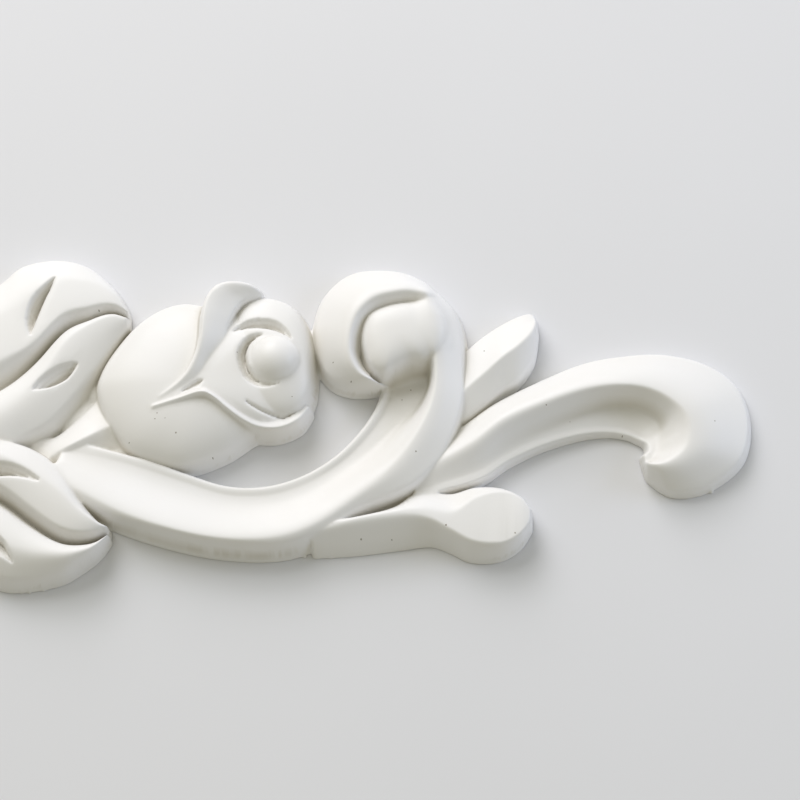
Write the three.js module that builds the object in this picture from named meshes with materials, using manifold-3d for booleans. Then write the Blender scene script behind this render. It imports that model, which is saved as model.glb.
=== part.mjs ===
// A moulded plastic furniture onlay, one solid piece with a flat back.
// It lies on its back at z = 0 with its relief up, its long axis along X and its middle at the origin.
// The right half holds two leaves, a rosebud, a C scroll and an S scroll. The left half is its mirror
// image, and an open rose covers the middle. All sizes are in millimetres.
import * as THREE from 'three';
import { mergeVertices } from 'three/addons/utils/BufferGeometryUtils.js';
import Module from 'manifold-3d';

const wasm = await Module();
wasm.setup();

// Overall sizes. The stations below are drawn on a layout of this length and relief.
const length = 440;
const relief = 15.5;
const drawnLength = 440;
const drawnRelief = 15.5;

// Sizes of the moulding itself
const draftAngle = 15;
const rimWidth = 1.3;
const rimShare = 0.08;
const rimStep = 1.1;
const floorRise = 0.1;
const creaseReach = 0.15;
const channelLimit = 0.9;

// Open rose in the middle. A petal's reach, size and height are shares of the rose's radius and height.
const roseRadius = 24;
const rosePetals = 5;
const roseHeight = 15.5;
const roseEyeRadius = 5;
const outerPetal = { reach: 0.55, size: 0.45, height: 0.7, edge: 4 };
const innerPetal = { reach: 0.3, size: 0.3, height: 0.88, edge: 8 };
const petalBulge = 2.4;
const eyeBulge = 2;

// Powers of the slopes in the cross sections. A power over 1 keeps a slope level at first.
const channelEase = 1.5;
const crownEase = 2.2;
const flankEase = 1.6;

// How finely the forms are faceted
const scrollSteps = 30;
const leafSteps = 14;
const gougeSteps = 8;
const domeTurns = 28;
const slopeSteps = 3;
const circlePoints = 12;
const bodyRings = 5;
const domeRings = 4;
const facetError = 0.08;
const thinFacet = 0.03;
const soundFacet = 0.09;
const cleanPasses = 12;
const leastTurn = 0.6;
const leastLevel = 0.9;
const steepest = -0.05;

// The solids start this far below the back, and are then cut flat at z = 0.
const sink = 2;
const spare = 1;
const underside = -sink - spare;
const above = relief * 2;
const planScale = length / drawnLength;
const heightScale = relief / drawnRelief;
const lean = Math.tan(THREE.MathUtils.degToRad(draftAngle));

// C scroll, from under the lower leaf round to the foot of its volute.
// Each station: inner foot x, y, outer foot x, y, crest share, crest, channel, outer and rim heights,
// share where the channel's floor ends
const stemStations = [
  [51, -4, 44, -18, 0.7, 8, 5.5, 6, 5.5, 0.25],
  [64, -7, 62, -26.5, 0.82, 8.5, 5.3, 7.5, 5.5, 0.25],
  [79, -12, 77, -31.5, 0.86, 9, 5.2, 8, 5.5, 0.25],
  [90, -15.5, 90, -34, 0.84, 9, 5.2, 8, 5.5, 0.25],
  [100, -15.5, 103, -34.2, 0.8, 9, 5.2, 8, 5.5, 0.25],
  [109, -12.5, 113, -31, 0.78, 9, 5.2, 7.8, 5.5, 0.25],
  [116.5, -7.5, 124.5, -24, 0.74, 9, 5, 7.5, 5.5, 0.25],
  [122, -1.5, 136.8, -18, 0.64, 9.5, 4.6, 7.2, 5.2, 0.26],
  [125.5, 4, 145, -8.5, 0.6, 10, 3.6, 7, 4.6, 0.32],
  [127.5, 9, 149.3, 3, 0.6, 10.3, 2.2, 7, 3.4, 0.44],
  [129, 14, 150, 14, 0.58, 10.8, 1.6, 7, 2.2, 0.47],
  [131, 20, 149.6, 22, 0.54, 12, 9.5, 7, 7.5, 0.1],
  [132, 25, 148, 29, 0.52, 12.6, 10, 6.5, 8, 0.1],
  [133, 29, 144.5, 34, 0.5, 12.4, 10, 5.5, 8, 0.1],
  [133, 32, 140, 38.5, 0.4, 10.5, 9, 4, 7, 0.1],
];

// Volute of the C scroll, a tube that winds round its ball.
// Each station: inner crease x, y, outer foot x, y, crest share, crest, outer and crease heights
const tubeStations = [
  [140.5, 28, 147, 30, 0.3, 8, 6, 7.5],
  [138.2, 29.4, 143, 35.4, 0.32, 12.6, 5.5, 11.4],
  [135.5, 29.5, 138.5, 39.5, 0.28, 13.2, 5, 9.8],
  [132.5, 29.2, 131, 42.2, 0.23, 13.5, 4.5, 9.2],
  [127.5, 27.8, 120.5, 41.6, 0.2, 13.5, 4.2, 9],
  [124.5, 24.8, 113.5, 36, 0.2, 13.5, 4, 8.8],
  [123, 20.8, 110.6, 28, 0.22, 13.3, 4, 8.5],
  [122.6, 17, 110.3, 20.5, 0.23, 13, 4.2, 8],
  [123.5, 14.2, 112.3, 14, 0.27, 12.5, 5, 7.5],
  [125, 12, 116, 9.8, 0.3, 11.6, 6.5, 7.5],
  [127, 10.2, 121, 8.2, 0.3, 10.5, 7.5, 7.5],
  [129.5, 10, 126, 8.4, 0.4, 7, 5.5, 6],
];
const ballOutline = [
  [120.5, 20], [122.5, 28], [130, 32.5], [138, 31.5], [143, 27], [145, 19.5], [142, 14.6],
  [136.5, 13.4], [131.5, 12], [127.4, 9.4], [123, 12],
];
const ballCentre = [131.5, 22.5];
const ballHeight = 13.4;
const ballEdge = 9;
const ballBulge = 2.6;

// Lower lobe that springs off the C scroll and ends in a blunt tongue.
// Each station: upper foot x, y, lower foot x, y, plateau start and end shares, crest height, then the
// share of that height at which its upper edge starts
const lobeStations = [
  [111, -24, 111, -33.5, 0.4, 0.5, 7.6, 0.55],
  [120, -23.5, 121, -33, 0.22, 0.3, 8.5, 0.55],
  [130.5, -20.5, 132, -31.6, 0.3, 0.37, 8.6, 0.55],
  [136.5, -16.8, 140, -30.6, 0.5, 0.6, 8.6, 0.5],
  [145, -17, 145, -32.3, 0.5, 0.75, 8.4, 0.55],
  [151, -15.4, 150, -34.6, 0.28, 0.82, 8.2, 0.7],
  [157.5, -15.6, 157, -34.4, 0.16, 0.86, 8, 0.7],
  [162.5, -18.2, 162, -31.5, 0.16, 0.84, 8, 0.7],
  [165, -21.8, 165, -27, 0.25, 0.75, 7.5, 0.7],
];
const lobeBend = 0.62;

// Blade leaf between the two scrolls: upper foot x, y, lower foot x, y, ridge share, ridge height
const bladeStations = [
  [145, 14, 141, -4, 0.7, 5],
  [149.5, 21, 148, 0, 0.75, 6.5],
  [154, 25, 153.5, 4.2, 0.8, 8],
  [157.8, 27.6, 158, 8, 0.74, 9],
  [161.5, 29.6, 162.5, 11, 0.65, 9],
  [164.8, 30.7, 166.3, 17, 0.56, 8],
  [166.6, 30, 167.6, 25, 0.5, 6],
];
const bladeEdge = 0.55;

// S scroll, stations as for the C scroll
const sScrollStations = [
  [138, -21, 143, -6, 0.5, 6, 4.5, 3, 4.5, 0.2],
  [151.5, -15.5, 149, 1.5, 0.55, 8, 4.5, 3.5, 4.5, 0.2],
  [160, -10, 156.5, 7, 0.57, 9, 4.2, 4, 4.4, 0.2],
  [168.5, -5.8, 167, 12.5, 0.54, 9.3, 3.6, 4, 4.2, 0.22],
  [177.5, -3, 178, 17.2, 0.52, 9.6, 2.8, 4, 3.6, 0.28],
  [184, -2.2, 188, 19.2, 0.5, 10, 2, 4, 3, 0.33],
  [188.5, -2.8, 199, 19.6, 0.47, 10, 1.6, 4, 2.6, 0.32],
  [191.3, -4, 210, 16.6, 0.43, 10, 2, 4, 2.6, 0.26],
  [192.6, -4.8, 217.6, 10, 0.42, 10, 3.4, 4, 3.4, 0.16],
  [193, -5.6, 220, 0, 0.42, 9.7, 4.8, 4, 4, 0.12],
  [193, -6.3, 217.3, -9.8, 0.42, 9.4, 6, 4, 4.5, 0.12],
  [192.8, -6.8, 208.5, -16.6, 0.42, 9, 6.6, 3.5, 5, 0.15],
  [192.4, -7.2, 199.5, -17.8, 0.42, 8.4, 6.6, 3, 5, 0.25],
  [191.6, -7.6, 193.2, -13.6, 0.45, 7.2, 6.2, 3, 5, 0.4],
];

// Leaves, from the root under the rose to the tip. Each station: upper foot x, y, lower foot x, y,
// shares of the upper brink, the midrib groove and the lower crest, then a height share
const upperLeafStations = [
  [8, 26, 20, -20, 0.46, 0.6, 0.78, 1],
  [22, 33, 30, -12, 0.46, 0.6, 0.78, 1],
  [31, 38, 38, -7, 0.48, 0.6, 0.78, 1],
  [37, 43.2, 46, -3, 0.49, 0.56, 0.72, 1],
  [46, 45, 52, 3, 0.4, 0.48, 0.59, 1],
  [54, 43, 56.5, 10, 0.39, 0.47, 0.54, 0.97],
  [61, 37, 61, 18, 0.33, 0.42, 0.5, 0.9],
  [64.8, 30.5, 65, 25, 0.35, 0.45, 0.58, 0.75],
];
const lowerLeafStations = [
  [14, 0, 15.5, -24, 0.3, 0.42, 0.66, 0.9],
  [24, -1.8, 23, -35, 0.33, 0.41, 0.68, 0.95],
  [34, -3.2, 34.5, -41.6, 0.36, 0.43, 0.72, 1],
  [42, -5.6, 42, -42, 0.47, 0.55, 0.78, 1],
  [49, -11, 50, -40.4, 0.58, 0.67, 0.82, 1],
  [54, -18.6, 54.5, -37.8, 0.56, 0.67, 0.83, 0.97],
  [58, -23.6, 59, -34.2, 0.5, 0.66, 0.84, 0.9],
  [61.6, -26.6, 61.8, -30, 0.4, 0.55, 0.75, 0.75],
];

// Heights across a leaf. Its bank is the share from the groove to the lower crest where the rise ends.
const upperLeafHeights = {
  edge: 5.5, swell: 7.8, brink: 8.2, groove: 4, bank: 0.3, rise: 7.6, lowerCrest: 8.5, lowerEdge: 4,
};
const lowerLeafHeights = {
  edge: 7.5, swell: 10.8, brink: 9.8, groove: 4.6, bank: 0.3, rise: 8.6, lowerCrest: 9.6, lowerEdge: 4,
};

// Gouges that nick the leaves, each steep along its sharp edge and sloping up to its soft edge.
// Each station: sharp edge x, y, soft edge x, y, bottom height, height of the surface around it
const gougeShape = { draft: 0.25, middle: 0.5, middleRise: 0.4, overrun: 0.3, overrise: 2, wall: 0.05 };
const leafGouges = [
  [[46.5, 39.8, 46.4, 40, 7, 7.5], [45, 35.7, 43.9, 37, 5, 7.8], [43.6, 32.5, 41.3, 34.4, 3.8, 8],
    [42.1, 28.2, 39.3, 30.5, 3.2, 8], [41, 24.5, 38.7, 26, 4.8, 8], [40.3, 21.5, 40, 21.6, 8, 8.5]],
  [[53, 15.7, 52.9, 16, 7, 7.5], [51.3, 12.9, 49, 15.1, 5, 7.6], [49.4, 10.7, 46.1, 13.6, 4.4, 8],
    [45.7, 8.6, 42.8, 11, 5, 8], [40.3, 7.3, 40.1, 7.7, 7.5, 8]],
  [[20, -15.8, 20, -12, 6.5, 10], [27.4, -15.7, 27.2, -11.6, 6.6, 10.4],
    [34.7, -15.2, 34.6, -11.4, 6.6, 10.6], [39.6, -15.5, 39.6, -12.4, 7.6, 10.6],
    [44.1, -16.7, 44.1, -15.1, 9.2, 10.5], [46.4, -17.7, 46.4, -17.4, 10.2, 10.4]],
  [[22, -20, 24, -27, 5.5, 8.5], [29.1, -25.1, 27.4, -29.5, 5.2, 8.8], [35.4, -31.2, 33.6, -34.4, 5, 8.6],
    [37.5, -34.2, 36.4, -36.4, 5.6, 8], [39.6, -38.4, 39.2, -38.7, 7, 7.5]],
];

// Small pointed calyx between the leaves and the bud, stations as for the blade leaf
const calyxStations = [
  [41, -2.5, 46, -14, 0.62, 6],
  [46.5, -2.2, 52, -10, 0.6, 6.8],
  [52.2, 2.6, 58, -7, 0.6, 6.4],
  [57, 7.5, 62.5, -4.5, 0.62, 5],
  [60, 9, 66, -3, 0.62, 3],
];

// Rosebud: the outline of its body, then the open head with two crescents cut round its eye.
// The crescents have stations as for the gouges in the leaves.
const budOutline = [
  [56.2, 8], [57, 13.5], [60.5, 20], [65.5, 26.5], [71.5, 31], [78, 33], [86, 32], [96, 31.5],
  [106, 31.5], [110, 26], [111.4, 19], [111, 10], [109, 2.5], [104, -2.6], [97.4, -4], [90, -9],
  [80, -12.6], [72, -11.4], [64.5, -7.6], [59, 0],
];
const budCentre = [83, 9];
const budHeight = 12.3;
const budEdge = 4;
const budBulge = 2.1;
const headOutline = [
  [90, 28], [88.3, 18.9], [85.7, 13], [84, 9.7], [88.5, 6.8], [94.3, 2.6], [98.5, 0], [103.4, -1],
  [108.5, 0.8], [111.6, 6], [112.3, 12], [112, 20], [109.6, 27.5], [106, 32], [100, 34.2], [94, 33],
];
const headCentre = [101, 14.6];
const headHeight = 12.3;
const headEdge = 7.5;
const crescents = [
  [[89.6, 21.6, 89.4, 22.4, 11.5, 12.5], [93.9, 23.1, 93.3, 25, 9.6, 12], [98.2, 23, 97.4, 26, 9, 11.8],
    [102.2, 22, 102.6, 24.8, 9.3, 11.8], [107, 19, 107.4, 20, 11.5, 12]],
  [[99.8, 21.4, 99.4, 22.4, 11.5, 12.3], [96.3, 19.8, 94.2, 20.8, 9.6, 12.2],
    [94.6, 17.2, 92, 17.3, 8.8, 12.2], [94.7, 13.6, 92, 13.2, 8.8, 12.2],
    [96.3, 10.3, 94.2, 8.5, 9.4, 12], [99.6, 7.7, 98.8, 5.9, 11, 11.8]],
];
const eyeCentre = [101.5, 14.8];
const eyeRadius = 8.9;
const eyeHeight = 15.4;
const eyeEdge = 9.5;

// Stations of a rolled petal: inner foot x, y, outer foot x, y, crest share, crest, outer and inner heights
const foldStations = [
  [73.4, 4, 72.8, 5, 0.6, 11.8, 11.5, 11],
  [78.8, 6.1, 77.3, 9, 0.7, 12.8, 12, 11],
  [83.9, 9.4, 79.5, 12, 0.78, 13.6, 12, 11],
  [86, 14.2, 81.3, 16, 0.8, 14.2, 12, 11.2],
  [88.1, 18.7, 82, 20.2, 0.82, 14.6, 12, 11.4],
  [90, 24, 82, 25.5, 0.82, 14.6, 11, 11.4],
  [91.7, 27.5, 82.4, 30.6, 0.79, 14.2, 8, 11.2],
  [93.4, 29.8, 84.4, 35.6, 0.68, 13.7, 7, 10.8],
  [95.6, 31.1, 88.9, 37.5, 0.57, 13, 6.5, 10],
  [97.5, 32, 94, 37, 0.48, 11.5, 5.5, 9],
  [98.9, 32.4, 98, 35, 0.35, 9, 4.5, 7.6],
];
const lipStations = [
  [71.4, 2.8, 71.5, 1.2, 0.4, 11.8, 11, 10.8],
  [78.3, 5.3, 78.4, 2.2, 0.42, 13, 11, 10.8],
  [83.3, 7.6, 84, 2.9, 0.52, 14, 10.5, 10.5],
  [86.2, 6.9, 87, 1.8, 0.58, 13.8, 9.5, 10],
  [90.2, 4.4, 90, -0.4, 0.66, 12.6, 8, 9.6],
  [94.6, 1.9, 93.8, -2.6, 0.71, 10.8, 6, 8.8],
  [98.5, 0.7, 97.8, -3.6, 0.82, 9.4, 5, 8],
  [102.9, 0.2, 103, -3.4, 0.82, 8.8, 5, 7.8],
  [106.6, 1.8, 108.2, -0.9, 0.8, 8.6, 5, 7.8],
  [109, 4.6, 111.1, 3.8, 0.7, 8.4, 5, 7.6],
];

// Low webs that close pinholes between neighbouring forms: centre x, y and radius
const webs = [[133, 28, 6], [62, -6, 5], [43, -4, 4], [57, 9, 4], [52.5, 3, 6], [139, -16, 5]];
const webHeight = 3;
const webEdge = 1;
const webBulge = 2;

// Catmull-Rom curve through rows of numbers, all columns at once
function between(before, start, end, after, f) {
  return start.map((p1, k) => {
    const p0 = before[k];
    const p2 = end[k];
    const p3 = after[k];
    const square = (2 * p0 - 5 * p1 + 4 * p2 - p3) * f * f;
    const cube = (3 * p1 - p0 - 3 * p2 + p3) * f * f * f;
    return 0.5 * (2 * p1 + (p2 - p0) * f + square + cube);
  });
}

function along(rows, share) {
  const last = rows.length - 1;
  const place = share * last;
  const i = Math.min(Math.floor(place), last - 1);
  return between(rows[Math.max(i - 1, 0)], rows[i], rows[i + 1], rows[Math.min(i + 2, last)], place - i);
}

function round(rows, share) {
  const count = rows.length;
  const place = share * count;
  const i = Math.floor(place);
  const pick = (k) => rows[(k + count) % count];
  return between(pick(i - 1), pick(i), pick(i + 1), pick(i + 2), place - i);
}

// A closed body between rows of surface points and a level plane
function bodyTo(level, rows, closed) {
  const columns = rows[0].length;
  const positions = [];
  rows.forEach((row) => row.forEach(([x, y, z]) => {
    positions.push(x * planScale, y * planScale, z < 0 ? z : z * heightScale);
    positions.push(x * planScale, y * planScale, level);
  }));
  const top = (i, k) => ((i % rows.length) * columns + k) * 2;
  const under = (i, k) => top(i, k) + 1;
  const triangles = [];
  const quad = (a, b, c, d) => triangles.push(a, b, c, a, c, d);
  const spans = closed ? rows.length : rows.length - 1;
  const last = columns - 1;
  for (let i = 0; i < spans; i++) {
    for (let k = 0; k < last; k++) {
      quad(top(i, k), top(i + 1, k), top(i + 1, k + 1), top(i, k + 1));
      quad(under(i, k), under(i, k + 1), under(i + 1, k + 1), under(i + 1, k));
    }
    quad(top(i, 0), under(i, 0), under(i + 1, 0), top(i + 1, 0));
    quad(top(i, last), top(i + 1, last), under(i + 1, last), under(i, last));
  }
  if (!closed) {
    for (let k = 0; k < last; k++) {
      quad(top(0, k), top(0, k + 1), under(0, k + 1), under(0, k));
      quad(top(spans, k), under(spans, k), under(spans, k + 1), top(spans, k + 1));
    }
  }
  return solidOf(positions, triangles);
}

function solidOf(positions, triangles) {
  const loose = new THREE.BufferGeometry();
  loose.setAttribute('position', new THREE.Float32BufferAttribute(positions, 3));
  loose.setIndex(triangles);
  const merged = mergeVertices(loose, 1e-4);
  const points = merged.attributes.position.array;
  const kept = [];
  let volume = 0;
  for (let i = 0; i < merged.index.count; i += 3) {
    const [a, b, c] = [0, 1, 2].map((k) => merged.index.getX(i + k));
    if (a !== b && b !== c && c !== a) {
      kept.push(a, b, c);
      const [p, q, r] = [a, b, c].map((v) => new THREE.Vector3().fromArray(points, v * 3));
      volume += p.dot(q.cross(r));
    }
  }
  const outward = volume > 0 ? kept : kept.reverse();
  const mesh = new wasm.Mesh({
    numProp: 3, vertProperties: Float32Array.from(points), triVerts: Uint32Array.from(outward),
  });
  return new wasm.Manifold(mesh);
}

// A ribbon swept through its stations. The section gives distances from the inner foot, and heights.
function ribbon(stations, steps, section, level = underside) {
  const rows = [];
  for (let i = 0; i <= steps; i++) {
    const [x0, y0, x1, y1, ...sizes] = along(stations, i / steps);
    const width = Math.hypot(x1 - x0, y1 - y0);
    rows.push(section(width, ...sizes).map(([reach, height]) => {
      const share = reach / width;
      return [x0 + (x1 - x0) * share, y0 + (y1 - y0) * share, height];
    }));
  }
  return bodyTo(level, rows, false);
}

// Points of a slope between two section points
function slope([startReach, startHeight], [endReach, endHeight], power) {
  return Array.from({ length: slopeSteps }, (_, k) => {
    const share = (k + 1) / slopeSteps;
    const rise = (endHeight - startHeight) * share ** power;
    return [startReach + (endReach - startReach) * share, startHeight + rise];
  });
}

function scrollSection(width, crest, crestHeight, channelHeight, outerHeight, rimHeight, floorShare) {
  const rim = Math.min(rimWidth, width * rimShare);
  const rimEdge = rimHeight * lean / 2;
  const floorHeight = Math.min(channelHeight, rimHeight);
  const channelReach = Math.min(rimEdge + rim + rimStep, width * floorShare * channelLimit);
  const channel = [channelReach, floorHeight];
  const floorEnd = [width * floorShare, floorHeight + floorRise];
  const top = [width * crest, crestHeight];
  const shoulder = [width - outerHeight * lean, outerHeight];
  return [
    [0, -sink], [rimEdge, rimHeight], [rimEdge + rim, rimHeight], channel, floorEnd,
    ...slope(floorEnd, top, channelEase), ...slope(top, shoulder, crownEase), [width + sink * lean, -sink],
  ];
}

function tubeSection(width, crest, crestHeight, outerHeight, innerHeight) {
  const top = [width * crest, crestHeight];
  const shoulder = [Math.max(width - outerHeight * lean, (top[0] + width) / 2), outerHeight];
  return [
    [0, -sink], [Math.min(creaseReach, top[0] / 2), innerHeight], top,
    ...slope(top, shoulder, crownEase), [width + sink * lean, -sink],
  ];
}

// A lobe has a flat top from its start share to its end share, and its wall bends out half way down.
function lobeSection(width, start, end, crestHeight, edgeShare) {
  const edge = crestHeight * edgeShare;
  return [
    [0, -sink], [edge * lean, edge], [width * start, crestHeight], [width * end, crestHeight],
    [width * (1 + end) / 2, crestHeight * lobeBend], [width, 0], [width + sink * lean, -sink],
  ];
}

function bladeSection(width, ridge, ridgeHeight) {
  const edge = ridgeHeight * bladeEdge;
  return [
    [-sink * lean, -sink], [edge * lean, edge], [width * ridge, ridgeHeight],
    [width - edge * lean, edge], [width + sink * lean, -sink],
  ];
}

function leafSection(heights) {
  return (width, brink, groove, lowerCrest, share) => {
    const bank = groove + (lowerCrest - groove) * heights.bank;
    const lowerTop = [width * lowerCrest, heights.lowerCrest * share];
    const lowerEdge = [width - heights.lowerEdge * lean, heights.lowerEdge * share];
    return [
      [-sink * lean, -sink], [heights.edge * lean, heights.edge * share],
      [width * brink / 2, heights.swell * share], [width * brink, heights.brink * share],
      [width * groove, heights.groove * share], [width * bank, heights.rise * share], lowerTop,
      ...slope(lowerTop, lowerEdge, flankEase), [width + sink * lean, -sink],
    ];
  };
}

// A dome inside a closed outline, with its edge standing up from the back
function dome(outline, centre, height, edge, bulge, rings) {
  const rows = [];
  for (let i = 0; i < domeTurns; i++) {
    const [x, y] = round(outline, i / domeTurns);
    const radius = Math.hypot(x - centre[0], y - centre[1]);
    const at = (reach, z) => [
      centre[0] + (x - centre[0]) * reach, centre[1] + (y - centre[1]) * reach, z,
    ];
    const row = [];
    for (let k = 0; k <= rings; k++) {
      const share = Math.sin((k / rings) * Math.PI / 2);
      const z = edge + (height - edge) * (1 - share ** bulge) ** (1 / bulge);
      row.push(at(share * (1 - edge * lean / radius), z));
    }
    row.push(at(1 + sink * lean / radius, -sink));
    rows.push(row);
  }
  return bodyTo(underside, rows, true);
}

function circle([x, y], radius) {
  return Array.from({ length: circlePoints }, (_, k) => {
    const angle = (k / circlePoints) * 2 * Math.PI;
    return [x + radius * Math.cos(angle), y + radius * Math.sin(angle)];
  });
}

// The shape of a gouge, from its surface up to well above the relief
function gougeSection(width, bottom, surface) {
  const { draft, middle, middleRise, overrun, overrise, wall } = gougeShape;
  const end = draft + width * (1 + overrun);
  return [
    [0, above], [draft, bottom], [draft + width * middle, bottom + (surface - bottom) * middleRise],
    [draft + width, surface], [end, surface + overrise], [end + wall, above],
  ];
}

function gouged(solid, gouges) {
  return gouges.reduce(
    (cut, stations) => cut.subtract(ribbon(stations, gougeSteps, gougeSection, above + spare)), solid,
  );
}

// Open rose in the middle: outer petals, inner petals and a round eye
function rose() {
  const petal = (angle, { reach, size, height, edge }) => {
    const away = roseRadius * reach;
    const centre = [away * Math.cos(angle), away * Math.sin(angle)];
    const outline = circle(centre, roseRadius * size);
    return dome(outline, centre, roseHeight * height, edge, petalBulge, domeRings);
  };
  const parts = [];
  for (let k = 0; k < rosePetals; k++) {
    const angle = Math.PI / 2 + (k / rosePetals) * 2 * Math.PI;
    parts.push(petal(angle, outerPetal), petal(angle + Math.PI / rosePetals, innerPetal));
  }
  const eye = circle([0, 0], roseEyeRadius);
  parts.push(dome(eye, [0, 0], roseHeight, innerPetal.edge, eyeBulge, domeRings));
  return parts;
}

function slab(height) {
  const box = new THREE.BoxGeometry(length * 2, length * 2, height);
  box.translate(0, 0, height / 2);
  box.deleteAttribute('normal');
  box.deleteAttribute('uv');
  const merged = mergeVertices(box);
  return solidOf(Array.from(merged.attributes.position.array), Array.from(merged.index.array));
}

function joined(parts) {
  return parts.reduce((whole, part) => whole.add(part));
}

const leaves = gouged(joined([
  ribbon(upperLeafStations, leafSteps, leafSection(upperLeafHeights)),
  ribbon(lowerLeafStations, leafSteps, leafSection(lowerLeafHeights)),
]), leafGouges);

const bud = gouged(joined([
  dome(budOutline, budCentre, budHeight, budEdge, budBulge, bodyRings),
  dome(headOutline, headCentre, headHeight, headEdge, eyeBulge, domeRings),
]), crescents);

const rightHalf = joined([
  leaves,
  bud,
  dome(circle(eyeCentre, eyeRadius), eyeCentre, eyeHeight, eyeEdge, eyeBulge, domeRings),
  ribbon(foldStations, leafSteps, tubeSection),
  ribbon(lipStations, leafSteps, tubeSection),
  ribbon(stemStations, scrollSteps, scrollSection),
  ribbon(tubeStations, scrollSteps, tubeSection),
  dome(ballOutline, ballCentre, ballHeight, ballEdge, ballBulge, domeRings),
  ribbon(lobeStations, leafSteps, lobeSection),
  ribbon(bladeStations, leafSteps / 2, bladeSection),
  ribbon(sScrollStations, scrollSteps, scrollSection),
  ribbon(calyxStations, leafSteps / 2, bladeSection),
  ...webs.map(([x, y, radius]) => dome(circle([x, y], radius), [x, y], webHeight, webEdge, webBulge, 1)),
]);

// Height of a triangle over its longest edge
function altitude(p, q, r) {
  const longest = Math.max(p.distanceTo(q), q.distanceTo(r), r.distanceTo(p));
  return new THREE.Triangle(p, q, r).getArea() * 2 / longest;
}

function normalOf(p, q, r) {
  return new THREE.Triangle(p, q, r).getNormal(new THREE.Vector3());
}

// A relief has no undercuts: its back faces down, and no other facet does.
function facesOut(p, q, r) {
  const rise = normalOf(p, q, r).z;
  return p.z + q.z + r.z === 0 ? rise < 0 : rise > steepest;
}

// Whether a vertex can move onto its neighbour: how far that leaves its old facets, or Infinity
function closingError(points, triangles, fan, from, to) {
  const target = points[to];
  if (points[from].z === 0 && target.z !== 0) {
    return Infinity;
  }
  let error = 0;
  for (const f of fan) {
    const [p, q, r] = triangles[f].map((v) => points[v]);
    const old = normalOf(p, q, r);
    error = Math.max(error, Math.abs(old.dot(target.clone().sub(points[from]))));
    if (!triangles[f].includes(to)) {
      const moved = triangles[f].map((v) => (v === from ? target : points[v]));
      const before = altitude(p, q, r);
      const after = altitude(...moved);
      const turned = before > thinFacet && old.dot(normalOf(...moved)) < leastTurn;
      if (turned || !facesOut(...moved) || after < Math.min(before, soundFacet)) {
        return Infinity;
      }
    }
  }
  return error;
}

// One pass that closes edges whose removal moves the surface by less than the facet error
function closeEdges(points, triangles) {
  const fans = points.map(() => []);
  triangles.forEach((corners, f) => corners.forEach((v) => fans[v].push(f)));
  const ring = (v) => new Set(fans[v].flatMap((f) => triangles[f]).filter((w) => w !== v));
  const edges = triangles.flatMap(([a, b, c]) => [[a, b], [b, c], [c, a]]).filter(([a, b]) => a < b);
  edges.forEach((edge) => edge.push(points[edge[0]].distanceTo(points[edge[1]])));
  edges.sort((one, other) => one[2] - other[2]);
  const held = new Set();
  const gone = new Set();
  for (const [a, b] of edges) {
    if (held.has(a) || held.has(b)) {
      continue;
    }
    const shared = [...ring(a)].filter((v) => ring(b).has(v));
    const closing = (one, other) => closingError(points, triangles, fans[one], one, other);
    const errors = [closing(a, b), closing(b, a)];
    if (shared.length === 2 && Math.min(...errors) < facetError) {
      const [from, to] = errors[0] < errors[1] ? [a, b] : [b, a];
      [...ring(from), ...ring(to)].forEach((v) => held.add(v));
      for (const f of fans[from]) {
        if (triangles[f].includes(to)) {
          gone.add(f);
        }
        triangles[f] = triangles[f].map((v) => (v === from ? to : v));
      }
    }
  }
  return triangles.filter((_, f) => !gone.has(f));
}

// One pass that turns the long edge of each thin facet whose third corner lies on it
function turnEdges(points, triangles) {
  const owner = new Map();
  triangles.forEach((corners, f) => {
    corners.forEach((v, k) => owner.set(`${v},${corners[(k + 1) % 3]}`, f));
  });
  const held = new Set();
  triangles.forEach((corners, f) => {
    const [p, q, r] = corners.map((v) => points[v]);
    if (held.has(f) || altitude(p, q, r) > thinFacet) {
      return;
    }
    const spans = [p.distanceTo(q), q.distanceTo(r), r.distanceTo(p)];
    const k = spans.indexOf(Math.max(...spans));
    const [a, b, c] = [corners[k], corners[(k + 1) % 3], corners[(k + 2) % 3]];
    const other = owner.get(`${b},${a}`);
    const d = triangles[other].find((v) => v !== a && v !== b);
    const level = normalOf(...triangles[other].map((v) => points[v]));
    const pair = [[c, a, d], [d, b, c]];
    const better = pair.every((one) => altitude(...one.map((v) => points[v])) > altitude(p, q, r)
      && level.dot(normalOf(...one.map((v) => points[v]))) > leastLevel);
    if (!held.has(other) && !owner.has(`${c},${d}`) && !owner.has(`${d},${c}`) && better) {
      triangles[f] = pair[0];
      triangles[other] = pair[1];
      held.add(f);
      held.add(other);
      owner.set(`${c},${d}`, f);
      owner.set(`${d},${c}`, other);
    }
  });
  return triangles;
}

// The solid's surface without its thin facets
function cleaned(solid) {
  const mesh = solid.getMesh();
  const points = Array.from({ length: mesh.numVert }, (_, v) => (
    new THREE.Vector3().fromArray(mesh.vertProperties, v * 3)
  ));
  const cornersOf = (_, f) => Array.from(mesh.triVerts.slice(f * 3, f * 3 + 3));
  let triangles = Array.from({ length: mesh.numTri }, cornersOf);
  for (let pass = 0; pass < cleanPasses; pass++) {
    triangles = turnEdges(points, closeEdges(points, triangles));
  }
  const surface = new THREE.BufferGeometry();
  surface.setAttribute('position', new THREE.Float32BufferAttribute(points.flatMap((p) => p.toArray()), 3));
  surface.setIndex(triangles.flat());
  surface.computeVertexNormals();
  return surface;
}

const halves = joined([rightHalf, rightHalf.mirror([1, 0, 0]), ...rose()]);
const geometry = cleaned(halves.intersect(slab(above)));

const plastic = new THREE.MeshStandardMaterial({ color: 0xefece4, roughness: 0.5, metalness: 0 });
const onlay = new THREE.Mesh(geometry, plastic);
onlay.name = 'onlay';

const model = new THREE.Group();
model.add(onlay);
export default model;
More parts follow.
